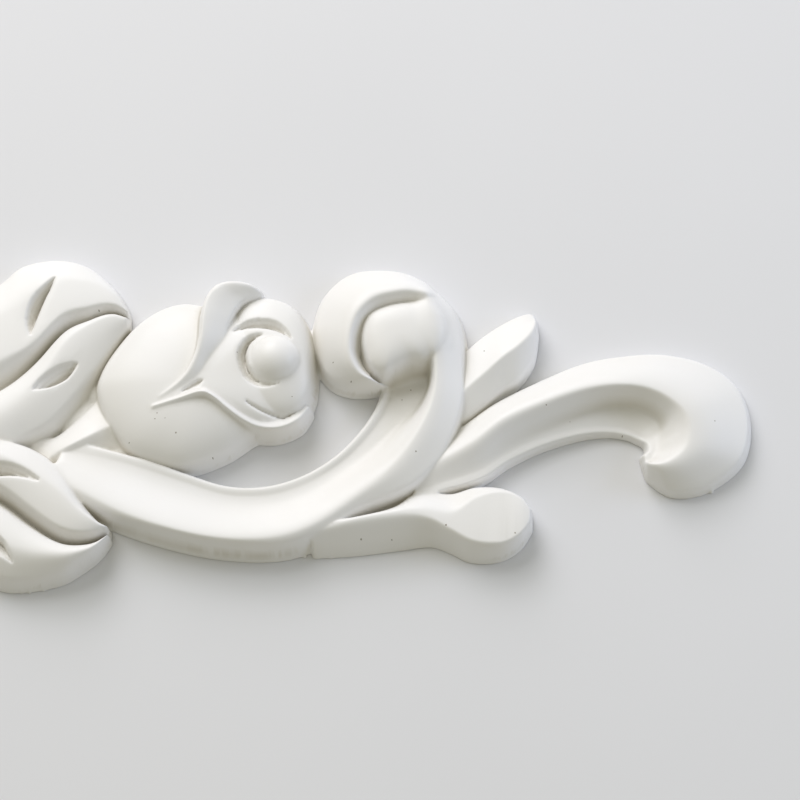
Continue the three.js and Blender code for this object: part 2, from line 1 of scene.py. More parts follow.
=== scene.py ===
"""A white moulded furniture onlay, lying on a pale table top in window light."""
import math

import bpy
import numpy as np
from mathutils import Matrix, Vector
from mathutils.geometry import delaunay_2d_cdt


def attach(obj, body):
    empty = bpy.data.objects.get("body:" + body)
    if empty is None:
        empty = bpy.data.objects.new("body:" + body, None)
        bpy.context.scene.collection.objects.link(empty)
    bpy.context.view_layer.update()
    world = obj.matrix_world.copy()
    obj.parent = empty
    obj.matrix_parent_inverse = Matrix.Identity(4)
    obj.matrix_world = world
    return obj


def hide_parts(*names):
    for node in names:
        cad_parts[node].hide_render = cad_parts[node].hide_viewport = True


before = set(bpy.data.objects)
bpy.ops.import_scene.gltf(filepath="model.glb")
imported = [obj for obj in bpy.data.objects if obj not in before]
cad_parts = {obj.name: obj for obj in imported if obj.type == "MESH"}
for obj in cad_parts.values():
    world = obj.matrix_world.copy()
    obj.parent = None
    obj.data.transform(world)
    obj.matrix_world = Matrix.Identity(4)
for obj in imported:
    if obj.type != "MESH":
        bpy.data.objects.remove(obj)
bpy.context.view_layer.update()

# Sizes of the moulding in millimetres: its length, how far its walls run on below the back, how much
# they lean, and the rim of its scrolls
MM = 0.001
LENGTH = 440.0
SINK = 4.0
LEAN = math.tan(math.radians(15.0))
RIM_WIDTH = 1.3
RIM_STEP = 1.1

# Shapes of the sections: how much an inner wall leans, then shares of a width or height. The channel's
# rise, the tube's inner wall and the gouge's overrun are lengths in millimetres.
INNER_LEAN = LEAN / 2
RIM_SHARE = 0.08
CHANNEL_SHARE = 0.9
CHANNEL_RISE = 0.1
TUBE_WALL = 0.2
LOBE_BEND = 0.62
BLADE_EDGE = 0.55
LEAF_RISE = 0.3
LEAF_SHOULDER = 0.75
GOUGE_OVERRUN = 0.15
GOUGE_WALL = 0.12
GOUGE_MIDDLE = 0.55
GOUGE_REACH = 1.05

# Open rose in the middle. A ring of petals is its reach and radius as shares of the rose's radius, its
# height as a share of the rose's height, and the height of its edge. A bulge of 2 is round, less is more
# pointed and more is fuller.
ROSE_RADIUS = 24.0
ROSE_HEIGHT = 15.5
ROSE_PETALS = 5
OUTER_RING = (0.55, 0.45, 0.7, 4)
INNER_RING = (0.3, 0.3, 0.88, 8)
PETAL_BULGE = 2.4
ROSE_EYE_RADIUS = 5
ROSE_EYE_EDGE = 8
ROUND = 2

# How finely the forms are worked out: grid cell, stride along a ribbon, steps of a section, of an outline
# and of a dome, points of a circle, triangles of one half, passes of blur for the form and for its
# shading, then how small a length or an area counts as none, and how near counts as touching
CELL = 0.25
STRIDE = 0.4
SECTION_STEPS = 12
OUTLINE_STEPS = 240
DOME_STEPS = 40
CIRCLE_POINTS = 12
TRIANGLES = 96000
FORM_PASSES = 3
CREASE_SOFTNESS = 0.5
SHADING_PASSES = 1
HAIR = 1e-6
SLIVER = 1e-9
WELD = 1e-7
TOUCH = CELL / 4

# How the hollows and creases are found for the painted shade in the finish: passes of blur, and the depth
# that counts in full.
# The ground beside the moulding counts as low, so that the outer walls stay free of painted shade.
HOLLOW_PASSES = 160
HOLLOW_DEPTH = 4.6
CREASE_PASSES = 14
CREASE_DEPTH = 1.2
BESIDE = -6.0

# Air pits in the plastic, painted as dark dots of shade: x, y and radius
PITS = [
    (57.1, 29.6, 0.17), (72.8, 0.6, 0.15), (72.3, -0.8, 0.15), (74.8, -0.7, 0.12), (77.5, -4.3, 0.2),
    (65.8, -5.7, 0.15), (86.4, -9.2, 0.15), (92.2, 16.4, 0.12), (105.9, 5.1, 0.12), (115.9, 14.8, 0.15),
    (120.4, 9.8, 0.15), (135.2, 10.1, 0.17), (133, 7.2, 0.15), (136.4, -8.8, 0.2), (153.5, 19, 0.17),
    (168.6, 3.5, 0.17), (174.7, 1.1, 0.12), (187.7, -2.2, 0.15), (210.1, -0.5, 0.15), (123, -29.9, 0.2),
    (130.5, -29.7, 0.15), (143.7, -27.4, 0.23), (158.2, -18, 0.15), (160.5, -29.3, 0.2),
]

# Flecks of flash left along the base: x, y and radius
FLASH = [
    (109.2, -32.9, 0.5), (112.4, -33.3, 0.4), (115.6, -33, 0.6), (119, -32.8, 0.4), (40.2, -42, 0.5),
    (42.1, -42.2, 0.4), (45.5, -41.6, 0.4), (195.6, -14.3, 0.5), (209.6, -16.3, 0.5), (75.5, -11.7, 0.6),
    (78.7, -12, 0.5), (72.3, -11.2, 0.5),
]
FLASH_HEIGHT = 0.9
FLASH_EDGE = 0.2

# The grid of heights covers the right half of the moulding.
GRID_LOW = np.array([0.0, -46.0])
GRID_HIGH = np.array([LENGTH / 2 + 3.0, 49.0])
GRID_SHAPE = tuple(((GRID_HIGH - GRID_LOW) / CELL).astype(int)[::-1] + 1)
NOTHING = -99.0

# C scroll, from under the lower leaf round to the foot of its volute.
# Each station: inner foot x, y, outer foot x, y, crest share, crest, channel, outer and rim heights,
# share where the channel's floor ends
STEM = [
    (51, -4, 44, -18, 0.7, 8, 5.5, 6, 5.5, 0.25),
    (64, -7, 62, -26.5, 0.82, 8.5, 5.3, 7.5, 5.5, 0.25),
    (79, -12, 77, -31.5, 0.86, 9, 5.2, 8, 5.5, 0.25),
    (90, -15.5, 90, -34, 0.84, 9, 5.2, 8, 5.5, 0.25),
    (100, -15.5, 103, -34.2, 0.8, 9, 5.2, 8, 5.5, 0.25),
    (109, -12.5, 113, -31, 0.78, 9, 5.2, 7.8, 5.5, 0.25),
    (116.5, -7.5, 124.5, -24, 0.74, 9, 5, 7.5, 5.5, 0.25),
    (122, -1.5, 136.8, -18, 0.64, 9.5, 4.6, 7.2, 5.2, 0.26),
    (125.5, 4, 145, -8.5, 0.6, 10, 3.6, 7, 4.6, 0.32),
    (127.5, 9, 149.3, 3, 0.6, 10.3, 2.2, 7, 3.4, 0.44),
    (129, 14, 150, 14, 0.58, 10.8, 1.6, 7, 2.2, 0.47),
    (131, 20, 149.6, 22, 0.54, 12, 9.5, 7, 7.5, 0.1),
    (132, 25, 148, 29, 0.52, 12.6, 10, 6.5, 8, 0.1),
    (133, 29, 144.5, 34, 0.5, 12.4, 10, 5.5, 8, 0.1),
    (133, 32, 140, 38.5, 0.4, 10.5, 9, 4, 7, 0.1),
]

# Volute of the C scroll, a tube that winds round its ball.
# Each station: inner crease x, y, outer foot x, y, crest share, crest, outer and crease heights
TUBE = [
    (140.5, 28, 147, 30, 0.3, 8, 6, 7.5),
    (138.2, 29.4, 143, 35.4, 0.32, 12.6, 5.5, 11.4),
    (135.5, 29.5, 138.5, 39.5, 0.28, 13.2, 5, 9.8),
    (132.5, 29.2, 131, 42.2, 0.23, 13.5, 4.5, 9.2),
    (127.5, 27.8, 120.5, 41.6, 0.2, 13.5, 4.2, 9),
    (124.5, 24.8, 113.5, 36, 0.2, 13.5, 4, 8.8),
    (123, 20.8, 110.6, 28, 0.22, 13.3, 4, 8.5),
    (122.6, 17, 110.3, 20.5, 0.23, 13, 4.2, 8),
    (123.5, 14.2, 112.3, 14, 0.27, 12.5, 5, 7.5),
    (125, 12, 116, 9.8, 0.3, 11.6, 6.5, 7.5),
    (127, 10.2, 121, 8.2, 0.3, 10.5, 7.5, 7.5),
    (129.5, 10, 126, 8.4, 0.4, 7, 5.5, 6),
]

# Ball of the volute, and the shoulder that joins it to the band
BALL_OUTLINE = [
    (120.5, 20), (122.5, 28), (130, 32), (139, 32), (144.8, 28.5), (146.6, 22.5), (144.5, 16.8),
    (140.5, 13.6), (136, 12.6), (131.5, 10.6), (127.4, 9), (123, 12),
]
BALL_CENTRE = (131.5, 22.5)
BALL_HEIGHT = 13.4
BALL_EDGE = 9
BALL_BULGE = 2.6
SHOULDER_OUTLINE = [
    (131, 17), (131, 28.5), (139, 30), (144.5, 27), (147, 22), (146.5, 17), (143, 15), (137, 14.5),
]
SHOULDER_CENTRE = (141, 23)
SHOULDER_HEIGHT = 10.9
SHOULDER_EDGE = 8
SHOULDER_BULGE = 1
SHOULDER_MELT = 2.5
STEM_MELT = 3

# Lower lobe that springs off the C scroll and ends in a blunt tongue.
# Each station: upper foot x, y, lower foot x, y, plateau start and end shares, crest height, then the
# share of that height at which its upper edge starts
LOBE = [
    (111, -24, 111, -33.5, 0.4, 0.5, 7.6, 0.55),
    (120, -23.5, 121, -33, 0.22, 0.3, 8.5, 0.55),
    (130.5, -20.5, 132, -31.6, 0.3, 0.37, 8.6, 0.55),
    (136.5, -16.8, 140, -30.6, 0.5, 0.6, 8.6, 0.5),
    (145, -17, 145, -32.3, 0.5, 0.75, 8.4, 0.55),
    (151, -15.4, 150, -34.6, 0.28, 0.82, 8.2, 0.7),
    (157.5, -15.6, 157, -34.4, 0.16, 0.86, 8, 0.7),
    (162.5, -18.2, 162, -31.5, 0.16, 0.84, 8, 0.7),
    (165, -21.8, 165, -27, 0.25, 0.75, 7.5, 0.7),
]

# Blade leaf between the two scrolls: upper foot x, y, lower foot x, y, ridge share, ridge height
BLADE = [
    (145, 14, 141, -4, 0.62, 5),
    (149.5, 21, 148, 0, 0.6, 6.5),
    (154, 25, 153.5, 4.2, 0.59, 7.6),
    (157.8, 27.6, 158, 8, 0.57, 8.4),
    (161.5, 29.6, 162.5, 11, 0.54, 8.4),
    (164.8, 30.7, 166.3, 17, 0.52, 7.6),
    (166.6, 30, 167.6, 25, 0.5, 6),
]

# S scroll: stations as for the C scroll
S_SCROLL = [
    (135, -20, 140.5, -5, 0.5, 6, 4.5, 3.5, 4.5, 0.2),
    (151.5, -15.5, 149, 1.5, 0.55, 8, 4.5, 3.5, 4.5, 0.2),
    (160, -10, 156.5, 7, 0.57, 9, 4, 4, 4, 0.2),
    (168.5, -5.8, 167, 12.5, 0.54, 9.3, 3.4, 4, 3.5, 0.22),
    (177.5, -3, 178, 17.2, 0.52, 9.6, 2.8, 4, 3, 0.28),
    (184, -2.2, 188, 19.2, 0.5, 10, 2, 4, 2.4, 0.33),
    (188.5, -2.8, 199, 19.6, 0.47, 10, 1.6, 4, 2.2, 0.32),
    (191.3, -4, 210, 16.6, 0.43, 10, 2, 4, 2.4, 0.26),
    (192.6, -4.8, 217.6, 10, 0.42, 10, 3.4, 4, 3.4, 0.16),
    (193, -5.6, 220, 0, 0.42, 9.7, 4.8, 4, 4, 0.12),
    (193, -6.3, 217.3, -9.8, 0.42, 9.4, 6, 4, 4.5, 0.12),
    (192.8, -6.8, 208.5, -16.6, 0.42, 9, 6.6, 3.5, 5, 0.15),
    (192.4, -7.2, 199.5, -17.8, 0.42, 8.4, 6.6, 3, 5, 0.25),
    (191.6, -7.6, 193.2, -13.6, 0.45, 7.2, 6.2, 3, 5, 0.4),
]

# Leaves, from the root under the rose to the tip. Each station: upper foot x, y, lower foot x, y,
# shares of the upper brink, the midrib groove and the lower crest, then a height share
UPPER_LEAF = [
    (8, 26, 20, -20, 0.46, 0.6, 0.78, 1),
    (22, 33, 30, -12, 0.46, 0.6, 0.78, 1),
    (31, 38, 38, -7, 0.48, 0.6, 0.78, 1),
    (37, 43.2, 46, -3, 0.49, 0.56, 0.72, 1),
    (46, 45, 52, 3, 0.4, 0.48, 0.59, 1),
    (54, 43, 56.5, 10, 0.39, 0.47, 0.54, 0.97),
    (61, 37, 61, 18, 0.33, 0.42, 0.5, 0.9),
    (64.8, 30.5, 65, 25, 0.35, 0.45, 0.58, 0.75),
]
LOWER_LEAF = [
    (14, 0, 15.5, -24, 0.3, 0.42, 0.66, 0.9),
    (24, -1.8, 23, -35, 0.33, 0.41, 0.68, 0.95),
    (34, -3.2, 34.5, -41.6, 0.36, 0.43, 0.72, 1),
    (42, -5.6, 42, -42, 0.47, 0.55, 0.78, 1),
    (49, -11, 50, -40.4, 0.58, 0.67, 0.82, 1),
    (54, -18.6, 54.5, -37.8, 0.56, 0.67, 0.83, 0.97),
    (58, -23.6, 59, -34.2, 0.5, 0.66, 0.84, 0.9),
    (61.6, -26.6, 61.8, -30, 0.4, 0.55, 0.75, 0.75),
]

# Heights across a leaf, from its upper edge to its lower one
UPPER_LEAF_HEIGHTS = {
    "edge": 5.5, "swell": 7.8, "brink": 8.2, "groove": 2.6,
    "rise": 7.6, "lower_crest": 8.8, "shoulder": 6.4, "lower_edge": 2.6,
}
LOWER_LEAF_HEIGHTS = {
    "edge": 7.5, "swell": 10.8, "brink": 9.8, "groove": 2.8,
    "rise": 8.4, "lower_crest": 9.8, "shoulder": 6, "lower_edge": 3,
}

# Gouges that nick the leaves, each steep along its sharp edge and sloping up to its soft edge.
# Each station: sharp edge x, y, soft edge x, y, depth
LEAF_GOUGES = [
    [(46.5, 39.8, 46.4, 40, 0), (45, 35.7, 43.9, 37, 2.8), (43.6, 32.5, 41.3, 34.4, 4.6),
     (42.1, 28.2, 39.3, 30.5, 5), (41, 24.5, 38.7, 26, 3.2), (40.3, 21.5, 40, 21.6, 0)],
    [(53, 15.7, 52.9, 16, 0), (51.3, 12.9, 49, 15.1, 3), (49.4, 10.7, 46.1, 13.6, 4.2),
     (45.7, 8.6, 42.8, 11, 3.4), (40.3, 7.3, 40.1, 7.7, 0)],
    [(20, -15.8, 20, -12, 3.8), (27.4, -15.7, 27.2, -11.6, 4.2), (34.7, -15.2, 34.6, -11.4, 4.4),
     (39.6, -15.5, 39.6, -12.4, 2.8), (44.1, -16.7, 44.1, -15.1, 1.2), (46.4, -17.7, 46.4, -17.4, 0)],
    [(22, -20, 24, -27, 3.6), (29.1, -25.1, 27.4, -29.5, 4.4), (35.4, -31.2, 33.6, -34.4, 4.4),
     (37.5, -34.2, 36.4, -36.4, 2.6), (39.6, -38.4, 39.2, -38.7, 0)],
]

# Small pointed calyx between the leaves and the bud, stations as for the blade leaf
CALYX = [
    (41, -2.5, 46, -14, 0.62, 3.5),
    (46.5, -2.2, 52, -10, 0.6, 6.2),
    (52.2, 2.6, 58, -8, 0.6, 6.4),
    (57, 7.5, 63, -6.5, 0.6, 5.4),
    (60, 9, 67, -5, 0.6, 3.6),
]

# Low webs that close pinholes between neighbouring forms: centre x, y and radius
WEBS = [(133, 28, 6), (62, -6, 5), (43, -4, 4), (57, 9, 4), (52.5, 3, 6), (139, -16, 5)]
WEB_HEIGHT = 3.0
WEB_EDGE = 1

# Rosebud: the outline of its body, then the petals that lie on it
BUD_OUTLINE = [
    (56.2, 8), (57, 13.5), (60.5, 20), (65.5, 26.5), (71.5, 31), (78, 33), (86, 32), (96, 31.5), (106, 31.5),
    (110, 26), (111.4, 19), (111, 10), (109, 2.5), (104, -2.6), (97.4, -4), (90, -9), (80, -12.6),
    (72, -11.4), (64.5, -7.6), (59, 0),
]
BUD_CENTRE = (83, 9)
BUD_HEIGHT = 12.3
BUD_EDGE = 4
BUD_BULGE = 2.1

# Open head of the bud, with two crescents and a shade step cut round its eye
ROSE_OUTLINE = [
    (90, 28), (88.3, 18.9), (85.7, 13), (84, 9.7), (88.5, 6.8), (94.3, 2.6), (98.5, 0), (103.4, -1),
    (108.5, 0.8), (111.6, 6), (112.3, 12), (112, 20), (109.6, 27.5), (106, 32), (100, 34.2), (94, 33),
]
ROSE_CENTRE = (101, 14.6)
HEAD_HEIGHT = 12.3
HEAD_EDGE = 7.5
CRESCENTS = [
    [(89.6, 21.6, 89.4, 22.4, 0), (93.9, 23.1, 93.3, 25, 2.6), (98.2, 23, 97.4, 26, 3.4),
     (102.2, 22, 102.6, 24.8, 3), (107, 19, 107.4, 20, 0)],
    [(99.8, 21.4, 99.4, 22.4, 0), (96.3, 19.8, 94.2, 20.8, 2.6), (94.6, 17.2, 92, 17.3, 3.4),
     (94.8, 13.6, 92, 13.2, 3.4), (96.4, 10.6, 94.2, 8.5, 2.8), (99.4, 8.6, 98.6, 6.4, 1.6),
     (103, 8.5, 103.2, 7.2, 1), (105.8, 9.9, 106.6, 9, 0.8), (107.4, 12, 107.6, 11.9, 0)],
    [(91.1, 7.9, 90.4, 7.2, 0), (93.3, 5.5, 92, 4, 0.8), (95.6, 3.5, 94.3, 1.6, 1.1),
     (100.5, 1.4, 100.1, -0.8, 1.2), (105.5, 0.9, 106.4, -1.2, 1), (109.1, 2.7, 110, 2, 0)],
]

# Rolled petals of the bud, and the gouge between them.
# Each station: inner foot x, y, outer foot x, y, crest share, crest, outer and inner heights
FOLD = [
    (73.4, 4, 72.8, 5, 0.6, 11.8, 11.5, 11),
    (78.8, 6.1, 77.3, 9, 0.7, 12.8, 12, 11),
    (83.9, 9.4, 79.5, 12, 0.78, 13.6, 12, 11),
    (86, 14.2, 81.3, 16, 0.8, 14.2, 12, 11.2),
    (88.1, 18.7, 82, 20.2, 0.82, 14.6, 12, 11.4),
    (90, 24, 82, 25.5, 0.82, 14.6, 11, 11.4),
    (91.7, 27.5, 82.4, 30.6, 0.79, 14.2, 8, 11.2),
    (93.4, 29.8, 84.4, 35.6, 0.68, 13.7, 7, 10.8),
    (95.6, 31.1, 88.9, 37.5, 0.57, 13, 6.5, 10),
    (97.5, 32, 94, 37, 0.48, 11.5, 5.5, 9),
    (98.9, 32.4, 98, 35, 0.35, 9, 4.5, 7.6),
]
LIP = [
    (71.4, 2.8, 71.5, 1.2, 0.4, 11.8, 11, 10.8),
    (78.3, 5.3, 78.4, 2.2, 0.42, 13, 11, 10.8),
    (83.3, 7.6, 84, 2.9, 0.52, 14, 10.5, 10.5),
    (86.2, 6.9, 87, 1.8, 0.58, 13.8, 9.5, 10),
    (90.2, 4.4, 90, -0.4, 0.66, 12.6, 8, 9.6),
    (94.6, 1.9, 93.8, -2.6, 0.71, 10.8, 6, 8.8),
    (98.5, 0.7, 97.8, -3.6, 0.82, 9.4, 5, 8),
    (102.9, 0.2, 103, -3.4, 0.82, 8.8, 5, 7.8),
    (106.6, 1.8, 108.2, -0.9, 0.8, 8.6, 5, 7.8),
    (109, 4.6, 111.1, 3.8, 0.7, 7, 4, 6.4),
]
BUD_GOUGES = [
    [(72.4, 3.3, 72.2, 3.8, 0), (78.5, 5.5, 77.8, 7.4, 1), (83.2, 7.8, 81.8, 10, 1.4),
     (84.6, 9.6, 84, 10.4, 0)],
]

# Eye of the bud
EYE_CENTRE = (101.5, 14.8)
EYE_RADIUS = 8.9
EYE_HEIGHT = 15.4
EYE_EDGE = 9.5

# Curves
def between(before, start, end, after, share):
    """Catmull-Rom curve, all columns at once."""
    square = (2 * before - 5 * start + 4 * end - after) * share ** 2
    cube = (3 * start - before - 3 * end + after) * share ** 3
    return 0.5 * (2 * start + (end - before) * share + square + cube)


def along(stations, count, closed=False):
    """Rows of numbers at even steps along the stations."""
    rows = np.array(stations, dtype=float)
    spans = len(rows) if closed else len(rows) - 1
    place = np.linspace(0, spans, count, endpoint=not closed)
    i = np.minimum(place.astype(int), spans - 1)
    share = (place - i)[:, None]
    if closed:
        return between(rows[i - 1], rows[i], rows[(i + 1) % spans], rows[(i + 2) % spans], share)
    return between(rows[np.maximum(i - 1, 0)], rows[i], rows[i + 1], rows[np.minimum(i + 2, spans)], share)


def through(knots):
    """A smooth profile through knots of (reach, height, sharp), one row for each place along a form."""
    reach = np.stack([np.broadcast_to(k[0], np.shape(knots[2][0])) for k in knots]).astype(float)
    height = np.stack([np.broadcast_to(k[1], reach.shape[1:]) for k in knots]).astype(float)
    run = np.maximum(np.diff(reach, axis=0), HAIR)
    pitch = np.diff(height, axis=0) / run
    meeting = pitch[:-1] * pitch[1:] > 0
    mean = np.where(meeting, 2 * pitch[:-1] * pitch[1:] / np.where(meeting, pitch[:-1] + pitch[1:], 1), 0)
    leave = np.concatenate([pitch[:1], mean])
    arrive = np.concatenate([mean, pitch[-1:]])
    for k, knot in enumerate(knots):
        if knot[2]:
            if k < len(knots) - 1:
                leave[k] = pitch[k]
            if k > 0:
                arrive[k - 1] = pitch[k - 1]
    t = np.linspace(0, 1, SECTION_STEPS, endpoint=False)[None, :, None]
    start, end = height[:-1, None], height[1:, None]
    slopes = leave[:, None] * (t ** 3 - 2 * t ** 2 + t) + arrive[:, None] * (t ** 3 - t ** 2)
    curve = start * (2 * t ** 3 - 3 * t ** 2 + 1) + end * (3 * t ** 2 - 2 * t ** 3) + run[:, None] * slopes
    places = reach[:-1, None] + run[:, None] * t
    return [
        np.vstack([grid.reshape(-1, grid.shape[-1]), last[None]]).T
        for grid, last in ((places, reach[-1]), (curve, height[-1]))
    ]


# The grid of heights
def cover(points, empty=NOTHING):
    """Heights of the grid's points under a surface given as rows of points."""
    field = np.full(GRID_SHAPE, empty)
    place = (points[..., :2] - GRID_LOW) / CELL
    corners = [place[:-1, :-1], place[1:, :-1], place[1:, 1:], place[:-1, 1:]]
    heights = [points[:-1, :-1, 2], points[1:, :-1, 2], points[1:, 1:, 2], points[:-1, 1:, 2]]
    for one, two, three in ((0, 1, 2), (0, 2, 3)):
        a, b, c = [corners[k].reshape(-1, 2) for k in (one, two, three)]
        za, zb, zc = [heights[k].ravel() for k in (one, two, three)]
        area = (b[:, 0] - a[:, 0]) * (c[:, 1] - a[:, 1]) - (b[:, 1] - a[:, 1]) * (c[:, 0] - a[:, 0])
        real = np.abs(area) > SLIVER
        a, b, c, za, zb, zc, area = [v[real] for v in (a, b, c, za, zb, zc, area)]
        low = np.ceil(np.minimum(np.minimum(a, b), c) - HAIR).astype(int)
        high = np.floor(np.maximum(np.maximum(a, b), c) + HAIR).astype(int)
        span = (high - low).max(axis=0) + 1
        for dx in range(span[0]):
            for dy in range(span[1]):
                x, y = low[:, 0] + dx, low[:, 1] + dy
                wb = ((x - a[:, 0]) * (c[:, 1] - a[:, 1]) - (y - a[:, 1]) * (c[:, 0] - a[:, 0])) / area
                wc = ((b[:, 0] - a[:, 0]) * (y - a[:, 1]) - (b[:, 1] - a[:, 1]) * (x - a[:, 0])) / area
                inside = (wb >= -HAIR) & (wc >= -HAIR) & (wb + wc <= 1 + HAIR)
                inside &= (x >= 0) & (y >= 0) & (x < GRID_SHAPE[1]) & (y < GRID_SHAPE[0])
                z = (za + (zb - za) * wb + (zc - za) * wc)[inside]
                np.maximum.at(field, (y[inside], x[inside]), z)
    return field


def blurred(field, passes):
    """Soften a field with repeated small blurs."""
    for _ in range(passes):
        for axis in (0, 1):
            padded = np.pad(field, [(1, 1) if axis == k else (0, 0) for k in (0, 1)], mode="edge")
            low = padded[:-2] if axis == 0 else padded[:, :-2]
            high = padded[2:] if axis == 0 else padded[:, 2:]
            field = 0.5 * field + 0.25 * (low + high)
    return field


def melted(one, other, reach):
    """The higher of two fields, with their crease filled over a height of reach."""
    fillet = np.maximum(reach - np.abs(one - other), 0) ** 2 / (4 * reach)
    return np.maximum(one, other) + fillet


# Forms
def ribbon(stations, section, empty=NOTHING):
    """Field of a ribbon swept through its stations."""
    rows = np.array(stations, dtype=float)
    rails = [np.hypot(*np.diff(rows[:, k:k + 2], axis=0).T).sum() for k in (0, 2)]
    stops = along(stations, int(max(rails) / STRIDE) + 2)
    inner, outer = stops[:, 0:2], stops[:, 2:4]
    width = np.hypot(*(outer - inner).T)
    reach, height = through(section(width, *stops[:, 4:].T))
    places = inner[:, None] + (outer - inner)[:, None] * (reach / width[:, None])[..., None]
    return cover(np.dstack([places, height]), empty)


def scroll_section(width, crest, crest_height, channel_height, outer_height, rim_height, floor):
    """A rim with a flat top, a channel, a rounded crest and the outer wall."""
    rim = np.minimum(RIM_WIDTH, width * RIM_SHARE)
    rim_edge = rim_height * INNER_LEAN
    channel = np.minimum(rim_edge + rim + RIM_STEP, width * floor * CHANNEL_SHARE)
    low = np.minimum(channel_height, rim_height)
    return [
        (-SINK * INNER_LEAN, -SINK, True), (rim_edge, rim_height, True), (rim_edge + rim, rim_height, False),
        (channel, low, False), (width * floor, low + CHANNEL_RISE, False),
        (width * crest, crest_height, False),
        (width - outer_height * LEAN, outer_height, True), (width + SINK * LEAN, -SINK, True),
    ]


def tube_section(width, crest, crest_height, outer_height, inner_height):
    top = width * crest
    shoulder = np.maximum(width - outer_height * LEAN, (top + width) / 2)
    return [
        (-TUBE_WALL, -SINK, True), (0, inner_height, True), (top, crest_height, False),
        (shoulder, outer_height, True), (width + SINK * LEAN, -SINK, True),
    ]


def lobe_section(width, start, end, crest_height, edge_share):
    edge = crest_height * edge_share
    return [
        (-SINK * LEAN, -SINK, True), (edge * LEAN, edge, True), (width * start, crest_height, False),
        (width * end, crest_height, False),
        (width * (1 + end) * 0.5, crest_height * LOBE_BEND, False), (width, 0, False),
        (width + SINK * LEAN, -SINK, True),
    ]


def blade_section(width, ridge, ridge_height):
    edge = ridge_height * BLADE_EDGE
    return [
        (-SINK * LEAN, -SINK, True), (edge * LEAN, edge, True), (width * ridge, ridge_height, True),
        (width - edge * LEAN, edge, True), (width + SINK * LEAN, -SINK, True),
    ]


def leaf_section(heights):
    """The section of a leaf with these heights: a swelling upper half, a groove, and a lower crest."""
    def section(width, brink, groove, lower_crest, share):
        return [
            (-SINK * LEAN, -SINK, True), (heights["edge"] * LEAN, heights["edge"] * share, True),
            (width * brink * 0.5, heights["swell"] * share, False),
            (width * brink, heights["brink"] * share, False),
            (width * groove, heights["groove"] * share, True),
            (width * (groove + (lower_crest - groove) * LEAF_RISE), heights["rise"] * share, False),
            (width * lower_crest, heights["lower_crest"] * share, False),
            (width * (lower_crest + (1 - lower_crest) * LEAF_SHOULDER), heights["shoulder"] * share, False),
            (width - heights["lower_edge"] * LEAN, heights["lower_edge"] * share, True),
            (width + SINK * LEAN, -SINK, True),
        ]
    return section


def gouge_section(width, depth):
    """A short steep wall on the sharp side, then a slope up to the soft side."""
    return [
        (-GOUGE_OVERRUN, 0, True), (width * GOUGE_WALL, depth, True),
        (width * GOUGE_MIDDLE, depth / 2, False), (width * GOUGE_REACH, 0, True),
    ]


def dome(outline, centre, height, edge, bulge=ROUND):
    """Field of a dome inside a closed outline, with its edge standing up from the back."""
    rim = along(outline, OUTLINE_STEPS, closed=True)
    rim = np.vstack([rim, rim[:1]])
    out = rim - centre
    radius = np.hypot(*out.T)[:, None]
    share = np.sin(np.linspace(0, 1, DOME_STEPS) * math.pi / 2)[None, :]
    reach = share * (1 - edge * LEAN / radius)
    z = np.broadcast_to(edge + (height - edge) * (1 - share ** bulge) ** (1 / bulge), reach.shape)
    reach = np.hstack([reach, 1 + SINK * LEAN / radius])
    z = np.hstack([z, np.full_like(radius, -SINK)])
    places = np.array(centre) + out[:, None] * reach[..., None]
    return cover(np.dstack([places, z]))


def circle(centre, radius):
    """Points of a round outline."""
    angles = np.linspace(0, 2 * math.pi, CIRCLE_POINTS, endpoint=False)
    return np.array(centre) + radius * np.stack([np.cos(angles), np.sin(angles)], axis=1)


def rose():
    """Field of the open rose in the middle: outer petals, inner petals and an eye."""
    field = dome(circle((0, 0), ROSE_EYE_RADIUS), (0, 0), ROSE_HEIGHT, ROSE_EYE_EDGE)
    for k in range(2 * ROSE_PETALS):
        angle = math.pi / 2 + k * math.pi / ROSE_PETALS
        reach, size, height, edge = INNER_RING if k % 2 else OUTER_RING
        centre = (ROSE_RADIUS * reach * math.cos(angle), ROSE_RADIUS * reach * math.sin(angle))
        petal = dome(circle(centre, ROSE_RADIUS * size), centre, ROSE_HEIGHT * height, edge, PETAL_BULGE)
        field = np.maximum(field, petal)
    return field


def gouged(field, gouges):
    """The field with gouges cut into it."""
    for stations in gouges:
        field = field - ribbon(stations, gouge_section, empty=0)
    return field


